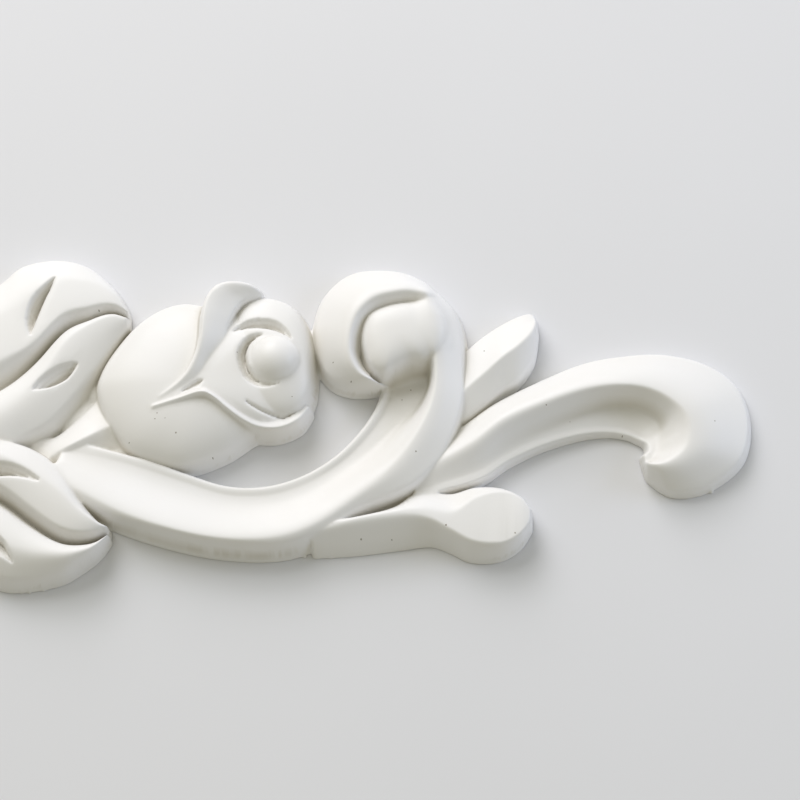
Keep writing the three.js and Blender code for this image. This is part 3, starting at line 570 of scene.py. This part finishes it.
def relief():
    """Heights of the right half of the moulding."""
    upper = ribbon(UPPER_LEAF, leaf_section(UPPER_LEAF_HEIGHTS))
    lower = ribbon(LOWER_LEAF, leaf_section(LOWER_LEAF_HEIGHTS))
    leaves = gouged(np.maximum(upper, lower), LEAF_GOUGES)
    bud = gouged(dome(BUD_OUTLINE, BUD_CENTRE, BUD_HEIGHT, BUD_EDGE, BUD_BULGE), BUD_GOUGES)
    bud = gouged(np.maximum(bud, dome(ROSE_OUTLINE, ROSE_CENTRE, HEAD_HEIGHT, HEAD_EDGE)), CRESCENTS)
    bud = np.maximum(bud, dome(circle(EYE_CENTRE, EYE_RADIUS), EYE_CENTRE, EYE_HEIGHT, EYE_EDGE))
    bud = np.maximum(np.maximum(bud, ribbon(FOLD, tube_section)), ribbon(LIP, tube_section))
    ball = dome(BALL_OUTLINE, BALL_CENTRE, BALL_HEIGHT, BALL_EDGE, BALL_BULGE)
    shoulder = dome(SHOULDER_OUTLINE, SHOULDER_CENTRE, SHOULDER_HEIGHT, SHOULDER_EDGE, SHOULDER_BULGE)
    stem = melted(ribbon(STEM, scroll_section), melted(ball, shoulder, SHOULDER_MELT), STEM_MELT)
    swept = [
        (TUBE, tube_section), (LOBE, lobe_section), (BLADE, blade_section), (S_SCROLL, scroll_section),
        (CALYX, blade_section),
    ]
    forms = [leaves, bud, stem, rose()] + [ribbon(stations, section) for stations, section in swept]
    forms += [dome(circle((x, y), radius), (x, y), WEB_HEIGHT, WEB_EDGE) for x, y, radius in WEBS]
    forms += [dome(circle((x, y), radius), (x, y), FLASH_HEIGHT, FLASH_EDGE) for x, y, radius in FLASH]
    whole = np.maximum(np.maximum.reduce(forms), -SINK)
    soft = blurred(whole, FORM_PASSES)
    return np.where(whole > soft, soft, whole + (soft - whole) * CREASE_SOFTNESS)


# The mesh
def clipped(height):
    """Vertices and triangles of the part of the height field above the flat back."""
    rows, columns = height.shape
    y, x = np.mgrid[0:rows, 0:columns]
    points = np.stack([GRID_LOW[0] + x * CELL, GRID_LOW[1] + y * CELL, height], axis=-1).reshape(-1, 3)
    index = (y * columns + x)[:-1, :-1].ravel()
    corners = [index, index + 1, index + columns + 1, index + columns]
    faces = np.vstack([np.stack([corners[k] for k in ks], axis=1) for ks in ((0, 1, 2), (0, 2, 3))])
    up = points[faces, 2] > 0
    count = up.sum(axis=1)
    whole = faces[count == 3]
    edges, pieces = [], []
    for lone in (1, 2):
        cut = faces[count == lone]
        odd = up[count == lone] == (lone == 1)
        turn = odd.argmax(axis=1)[:, None]
        a, b, c = np.take_along_axis(cut, (turn + np.arange(3)) % 3, axis=1).T
        edges.append(np.stack([a, b, a, c], axis=1).reshape(-1, 2))
        pieces.append((a, b, c))
    pairs, inverse = np.unique(np.sort(np.vstack(edges), axis=1), axis=0, return_inverse=True)
    first, second = points[pairs[:, 0]], points[pairs[:, 1]]
    crossing = first + (second - first) * (first[:, 2:] / (first[:, 2:] - second[:, 2:]))
    crossing[:, 2] = 0
    new = (len(points) + inverse).reshape(-1, 2)
    split = len(pieces[0][0])
    ab, ac = new[:split].T
    single = np.stack([pieces[0][0], ab, ac], axis=1)
    ab, ac = new[split:].T
    double = np.vstack([
        np.stack([ab, pieces[1][1], pieces[1][2]], axis=1), np.stack([ab, pieces[1][2], ac], axis=1),
    ])
    faces = np.vstack([whole, single, double])
    used, faces = np.unique(faces, return_inverse=True)
    return np.vstack([points, crossing])[used], faces.reshape(-1, 3)


def mesh_of(name, points, faces):
    mesh = bpy.data.meshes.new(name)
    mesh.from_pydata(points.tolist(), [], faces.tolist())
    mesh.validate()
    return mesh


def thinned(points, faces):
    """Fewer triangles for the same surface."""
    helper = bpy.data.objects.new("thinning", mesh_of("thinning", points, faces))
    bpy.context.scene.collection.objects.link(helper)
    decimate = helper.modifiers.new("fewer", "DECIMATE")
    decimate.ratio = TRIANGLES / len(faces)
    solved = helper.evaluated_get(bpy.context.evaluated_depsgraph_get()).to_mesh()
    count = len(solved.vertices)
    places = np.empty(count * 3)
    solved.vertices.foreach_get("co", places)
    solved.calc_loop_triangles()
    corners = np.empty(len(solved.loop_triangles) * 3, dtype=np.int32)
    solved.loop_triangles.foreach_get("vertices", corners)
    bpy.data.objects.remove(helper)
    return places.reshape(-1, 3), corners.reshape(-1, 3)


def boundary(faces):
    """Directed edges with a face on one side only."""
    edges = np.vstack([faces[:, [0, 1]], faces[:, [1, 2]], faces[:, [2, 0]]])
    keys = edges[:, 0].astype(np.int64) << 32 | edges[:, 1]
    back = edges[:, 1].astype(np.int64) << 32 | edges[:, 0]
    return edges[~np.isin(keys, back)]


def whole_moulding(points, faces):
    """Mirror the half, weld it along x = 0, and close its flat back."""
    rim = boundary(faces)
    edge = np.unique(rim)
    on_middle = np.abs(points[edge, 0]) < TOUCH
    points[edge[on_middle], 0] = 0
    points[edge[~on_middle | (points[edge, 2] < TOUCH)], 2] = 0
    mirrored = np.arange(len(points)) + len(points)
    mirrored[edge[on_middle]] = edge[on_middle]
    both = np.vstack([points, points * (-1, 1, 1)])
    faces = np.vstack([faces, mirrored[faces][:, ::-1]])
    rim = boundary(faces)
    edge, local = np.unique(rim, return_inverse=True)
    local = local.reshape(-1, 2).tolist()
    solved = delaunay_2d_cdt([Vector(both[v, :2]) for v in edge], local, [], 0, WELD, True)
    place = [ids[0] for ids in solved[3]]
    flat = [[place[v] for v in face] for face in solved[2]]
    back = [face for face, keep in zip(flat, inside(flat, local)) if keep]
    return both, np.vstack([faces, edge[np.array(back)][:, ::-1]])


def inside(triangles, rim):
    """Which triangles lie inside the rim, whose directed edges keep the inside on their left."""
    rim = {tuple(edge) for edge in rim}
    owner = {}
    for k, (a, b, c) in enumerate(triangles):
        owner.update({(a, b): k, (b, c): k, (c, a): k})
    found = {owner[edge] for edge in rim if edge in owner}
    waiting = list(found)
    while waiting:
        a, b, c = triangles[waiting.pop()]
        for start, end in ((a, b), (b, c), (c, a)):
            beyond = owner.get((end, start))
            if (start, end) not in rim and beyond is not None and beyond not in found:
                found.add(beyond)
                waiting.append(beyond)
    return [k in found for k in range(len(triangles))]


def sampled(field, places):
    """The field at places in millimetres, blended between its grid points."""
    where = (places - GRID_LOW) / CELL
    x = np.clip(where[:, 0], 0, GRID_SHAPE[1] - 1.001)
    y = np.clip(where[:, 1], 0, GRID_SHAPE[0] - 1.001)
    i, j = x.astype(int), y.astype(int)
    u, v = x - i, y - j
    near = field[j, i] * (1 - u) + field[j, i + 1] * u
    far = field[j + 1, i] * (1 - u) + field[j + 1, i + 1] * u
    return near * (1 - v) + far * v


def right_places(mesh):
    """Plan places of the vertices in millimetres, mirrored into the right half, and the side of each."""
    places = np.empty(len(mesh.vertices) * 3)
    mesh.vertices.foreach_get("co", places)
    places = places.reshape(-1, 3)[:, :2] / MM
    side = np.where(places[:, 0] < 0, -1, 1)
    places[:, 0] *= side
    return places, side


def smooth_from(mesh, field):
    """Shade the relief by the slopes of the height field, and leave the back flat."""
    rise_y, rise_x = np.gradient(field, CELL)
    places, side = right_places(mesh)
    slope_x, slope_y = sampled(rise_x, places), sampled(rise_y, places)
    normals = np.stack([-slope_x * side, -slope_y, np.ones(len(places))], axis=1)
    normals[places[:, 0] < TOUCH, 0] = 0
    normals /= np.linalg.norm(normals, axis=1)[:, None]
    corners = np.empty(len(mesh.loops), dtype=np.int32)
    mesh.loops.foreach_get("vertex_index", corners)
    flat = np.array([polygon.normal.z < -0.9 for polygon in mesh.polygons])
    at_corner = normals[corners]
    at_corner[np.repeat(flat, 3)] = (0, 0, -1)
    for polygon in mesh.polygons:
        polygon.use_smooth = True
    mesh.normals_split_custom_set(at_corner.tolist())


def marked(mesh, name, field):
    """Store a field on the mesh's vertices, for the finish to read."""
    places, _ = right_places(mesh)
    mesh.attributes.new(name, "FLOAT", "POINT").data.foreach_set("value", sampled(field, places))


def sunken(field, passes, depth):
    """How far each point lies below its softened surroundings, from 0 to 1 at the full depth."""
    return np.clip((blurred(field, passes) - field) / depth, 0, 1)


height = relief()
points, faces = thinned(*clipped(height))
points, faces = whole_moulding(points, faces)
onlay = bpy.data.objects.new("onlay_moulding", mesh_of("onlay_moulding", points * MM, faces))
bpy.context.scene.collection.objects.link(onlay)
smooth_from(onlay.data, blurred(height, SHADING_PASSES))
# Fields of how deep each point lies in a hollow or a crease, from which the finish paints shade
standing = np.where(height > 0, height, BESIDE)
marked(onlay.data, "hollow", sunken(standing, HOLLOW_PASSES, HOLLOW_DEPTH))
marked(onlay.data, "crease", sunken(standing, CREASE_PASSES, CREASE_DEPTH))

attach(onlay, "root")
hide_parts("onlay")


# Finishes
class Value:
    """A shader socket whose arithmetic adds Math nodes."""

    def __init__(self, tree, socket):
        self.tree = tree
        self.socket = socket

    def math(self, operation, one, other, clamp=False):
        node = self.tree.nodes.new("ShaderNodeMath")
        node.operation = operation
        node.use_clamp = clamp
        feed(self.tree, node.inputs[0], one)
        feed(self.tree, node.inputs[1], other)
        return Value(self.tree, node.outputs[0])

    def __add__(self, other):
        return self.math("ADD", self, other)

    def __sub__(self, other):
        return self.math("SUBTRACT", self, other)

    def __rsub__(self, other):
        return self.math("SUBTRACT", other, self)

    def __mul__(self, other):
        return self.math("MULTIPLY", self, other)

    def under(self, other):
        return self.math("LESS_THAN", self, other)

    def larger(self, other):
        return self.math("MAXIMUM", self, other)

    def held(self):
        """The value held between 0 and 1."""
        return self.math("ADD", self, 0, clamp=True)

    __radd__ = __add__
    __rmul__ = __mul__


def feed(tree, target, value):
    if isinstance(value, Value):
        tree.links.new(value.socket, target)
    else:
        target.default_value = value


class Finish:
    """A material with a Principled shader, and a method that adds any other node to it."""

    def __init__(self, name):
        self.material = bpy.data.materials.new(name)
        self.material.use_nodes = True
        self.tree = self.material.node_tree
        self.shader = self.tree.nodes["Principled BSDF"]

    def set(self, socket, value):
        feed(self.tree, self.shader.inputs[socket], value)

    def node(self, kind, settings, values, output):
        node = self.tree.nodes.new(kind)
        for name, setting in settings.items():
            setattr(node, name, setting)
        for name, value in values.items():
            feed(self.tree, node.inputs[name], value)
        return Value(self.tree, node.outputs[output])

    def attribute(self, name):
        return self.node("ShaderNodeAttribute", {"attribute_name": name}, {}, "Fac")

    def noise(self, place, scale, detail=2):
        values = {"Vector": place, "Scale": scale, "Detail": detail}
        return self.node("ShaderNodeTexNoise", {}, values, "Fac")

    def mixed(self, share, one, other):
        """A mix of two colours. The colour sockets of a Mix node are its inputs 6 and 7 and output 2."""
        return self.node("ShaderNodeMix", {"data_type": "RGBA"}, {0: share, 6: one, 7: other}, 2)

    def vector(self, operation, one, other, output=0):
        return self.node("ShaderNodeVectorMath", {"operation": operation}, {0: one, 1: other}, output)


# Finish of the plastic: its colours, including the painted shade of its hollows, creases and pits, then
# sizes of its patches, the mottling of the painted shade, sheen and grain as the scales of noises. The
# painted shade fades out over the last few millimetres above the back.
PLASTIC = (0.84, 0.83, 0.81, 1)
AGED_PLASTIC = (0.83, 0.815, 0.785, 1)
PAINTED_HOLLOW_SHADE = (0.74, 0.71, 0.63, 1)
PAINTED_CREASE_SHADE = (0.58, 0.55, 0.48, 1)
PAINTED_PIT_SHADE = (0.36, 0.33, 0.28, 1)
PAINTED_SHADE_FADE = 2 * MM
PATCH_SCALE = 28
MOTTLE_SCALE = 90
SHEEN_SCALE = 200
GRAIN_SCALE = 900
GRAIN_DEPTH = 0.2 * MM
GRAIN_STRENGTH = 0.06


def plastic():
    finish = Finish("warm white plastic")
    place = finish.node("ShaderNodeTexCoord", {}, {}, "Object")
    patches = (finish.noise(place, PATCH_SCALE) * 3 - 1.1).held()
    colour = finish.mixed(patches, PLASTIC, AGED_PLASTIC)
    height = finish.node("ShaderNodeSeparateXYZ", {}, {"Vector": place}, "Z")
    # Painted shade is faded out near the back and mottled by noise
    raised = (height * (1 / PAINTED_SHADE_FADE) - 0.5).held()
    painted_shade_weight = (0.7 + 0.6 * finish.noise(place, MOTTLE_SCALE, 4)) * raised
    # Painted shade: a warmer, darker colour in the hollows, standing in for their shade and warm bounce
    # light
    colour = finish.mixed((finish.attribute("hollow") * painted_shade_weight).held(), colour, PAINTED_HOLLOW_SHADE)
    # Painted shade: a darker colour along the creases, standing in for the shade in them
    colour = finish.mixed((finish.attribute("crease") * painted_shade_weight).held(), colour, PAINTED_CREASE_SHADE)
    plan = finish.vector("MULTIPLY", place, (1, 1, 0))
    pits = None
    for x, y, radius in PITS:
        away = finish.vector("DISTANCE", plan, (x * MM, y * MM, 0), "Value")
        pit = away.under(radius * MM)
        pits = pit if pits is None else pits.larger(pit)
    # Painted shade: dark dots at the air pits, standing in for the shade inside them
    finish.set("Base Color", finish.mixed(pits, colour, PAINTED_PIT_SHADE))
    finish.set("Roughness", 0.38 + 0.14 * finish.noise(place, SHEEN_SCALE))
    grain = finish.noise(place, GRAIN_SCALE, 3)
    bump = {"Height": grain, "Strength": GRAIN_STRENGTH, "Distance": GRAIN_DEPTH}
    finish.set("Normal", finish.node("ShaderNodeBump", {}, bump, "Normal"))
    return finish.material


def tabletop():
    finish = Finish("pale table top")
    place = finish.node("ShaderNodeTexCoord", {}, {}, "Object")
    mottling = finish.noise(place, TABLE_MOTTLE_SCALE)
    finish.set("Base Color", finish.mixed(mottling, TABLE_COLOUR, TABLE_SHADE))
    finish.set("Roughness", 0.49 + 0.06 * finish.noise(place, TABLE_SHEEN_SCALE))
    finish.set("Specular IOR Level", TABLE_GLOSS)
    return finish.material


onlay.data.materials.append(plastic())

# Table
TABLE_SIZE = 6.0
TABLE_COLOUR = (0.76, 0.76, 0.77, 1)
TABLE_SHADE = (0.73, 0.73, 0.74, 1)
TABLE_GLOSS = 0.15
TABLE_MOTTLE_SCALE = 9
TABLE_SHEEN_SCALE = 40
TABLE_DROP = 0.2 * MM
bpy.ops.mesh.primitive_plane_add(size=TABLE_SIZE, location=(0, 0, -TABLE_DROP))
table = bpy.context.object
table.name = "table"
table.data.materials.append(tabletop())

# Camera
CAMERA_TARGET = Vector((0.1325, 0.008, 0))
CAMERA_TILT = math.radians(20)
CAMERA_DISTANCE = 0.75
CAMERA_LENS = 135
CAMERA_SENSOR = 36
CAMERA_REACH = 20
camera = bpy.data.objects.new("camera", bpy.data.cameras.new("camera"))
bpy.context.scene.collection.objects.link(camera)
camera.data.lens = CAMERA_LENS
camera.data.sensor_width = CAMERA_SENSOR
camera.data.clip_end = CAMERA_REACH
sight = Vector((0, math.sin(CAMERA_TILT), -math.cos(CAMERA_TILT)))
camera.location = CAMERA_TARGET - sight * CAMERA_DISTANCE
camera.rotation_euler = sight.to_track_quat("-Z", "Y").to_euler()
bpy.context.scene.camera = camera


# Light
def window(name, place, size, power, colour):
    """A square of light that faces the camera's target from a place beside it."""
    lamp = bpy.data.objects.new(name, bpy.data.lights.new(name, "AREA"))
    bpy.context.scene.collection.objects.link(lamp)
    lamp.data.size = size
    lamp.data.energy = power
    lamp.data.color = colour
    lamp.location = CAMERA_TARGET + Vector(place)
    lamp.rotation_euler = (CAMERA_TARGET - lamp.location).to_track_quat("-Z", "Y").to_euler()


window("skylight", (-0.62, 1, 1.1), 1.1, 15.2, (0.95, 0.96, 1))
window("top window", (-0.25, 0.8, 0.45), 0.5, 2.8, (0.95, 0.92, 1))
window("far window", (0.85, 0.1, 0.3), 0.5, 2.9, (0.62, 0.72, 1))
ROOM_COLOUR = (1, 0.98, 0.82, 1)
ROOM_STRENGTH = 0.4
sky = bpy.data.worlds.new("room")
bpy.context.scene.world = sky
sky.use_nodes = True
room = sky.node_tree.nodes["Background"]
room.inputs["Color"].default_value = ROOM_COLOUR
room.inputs["Strength"].default_value = ROOM_STRENGTH
bpy.context.scene.view_settings.view_transform = "Standard"
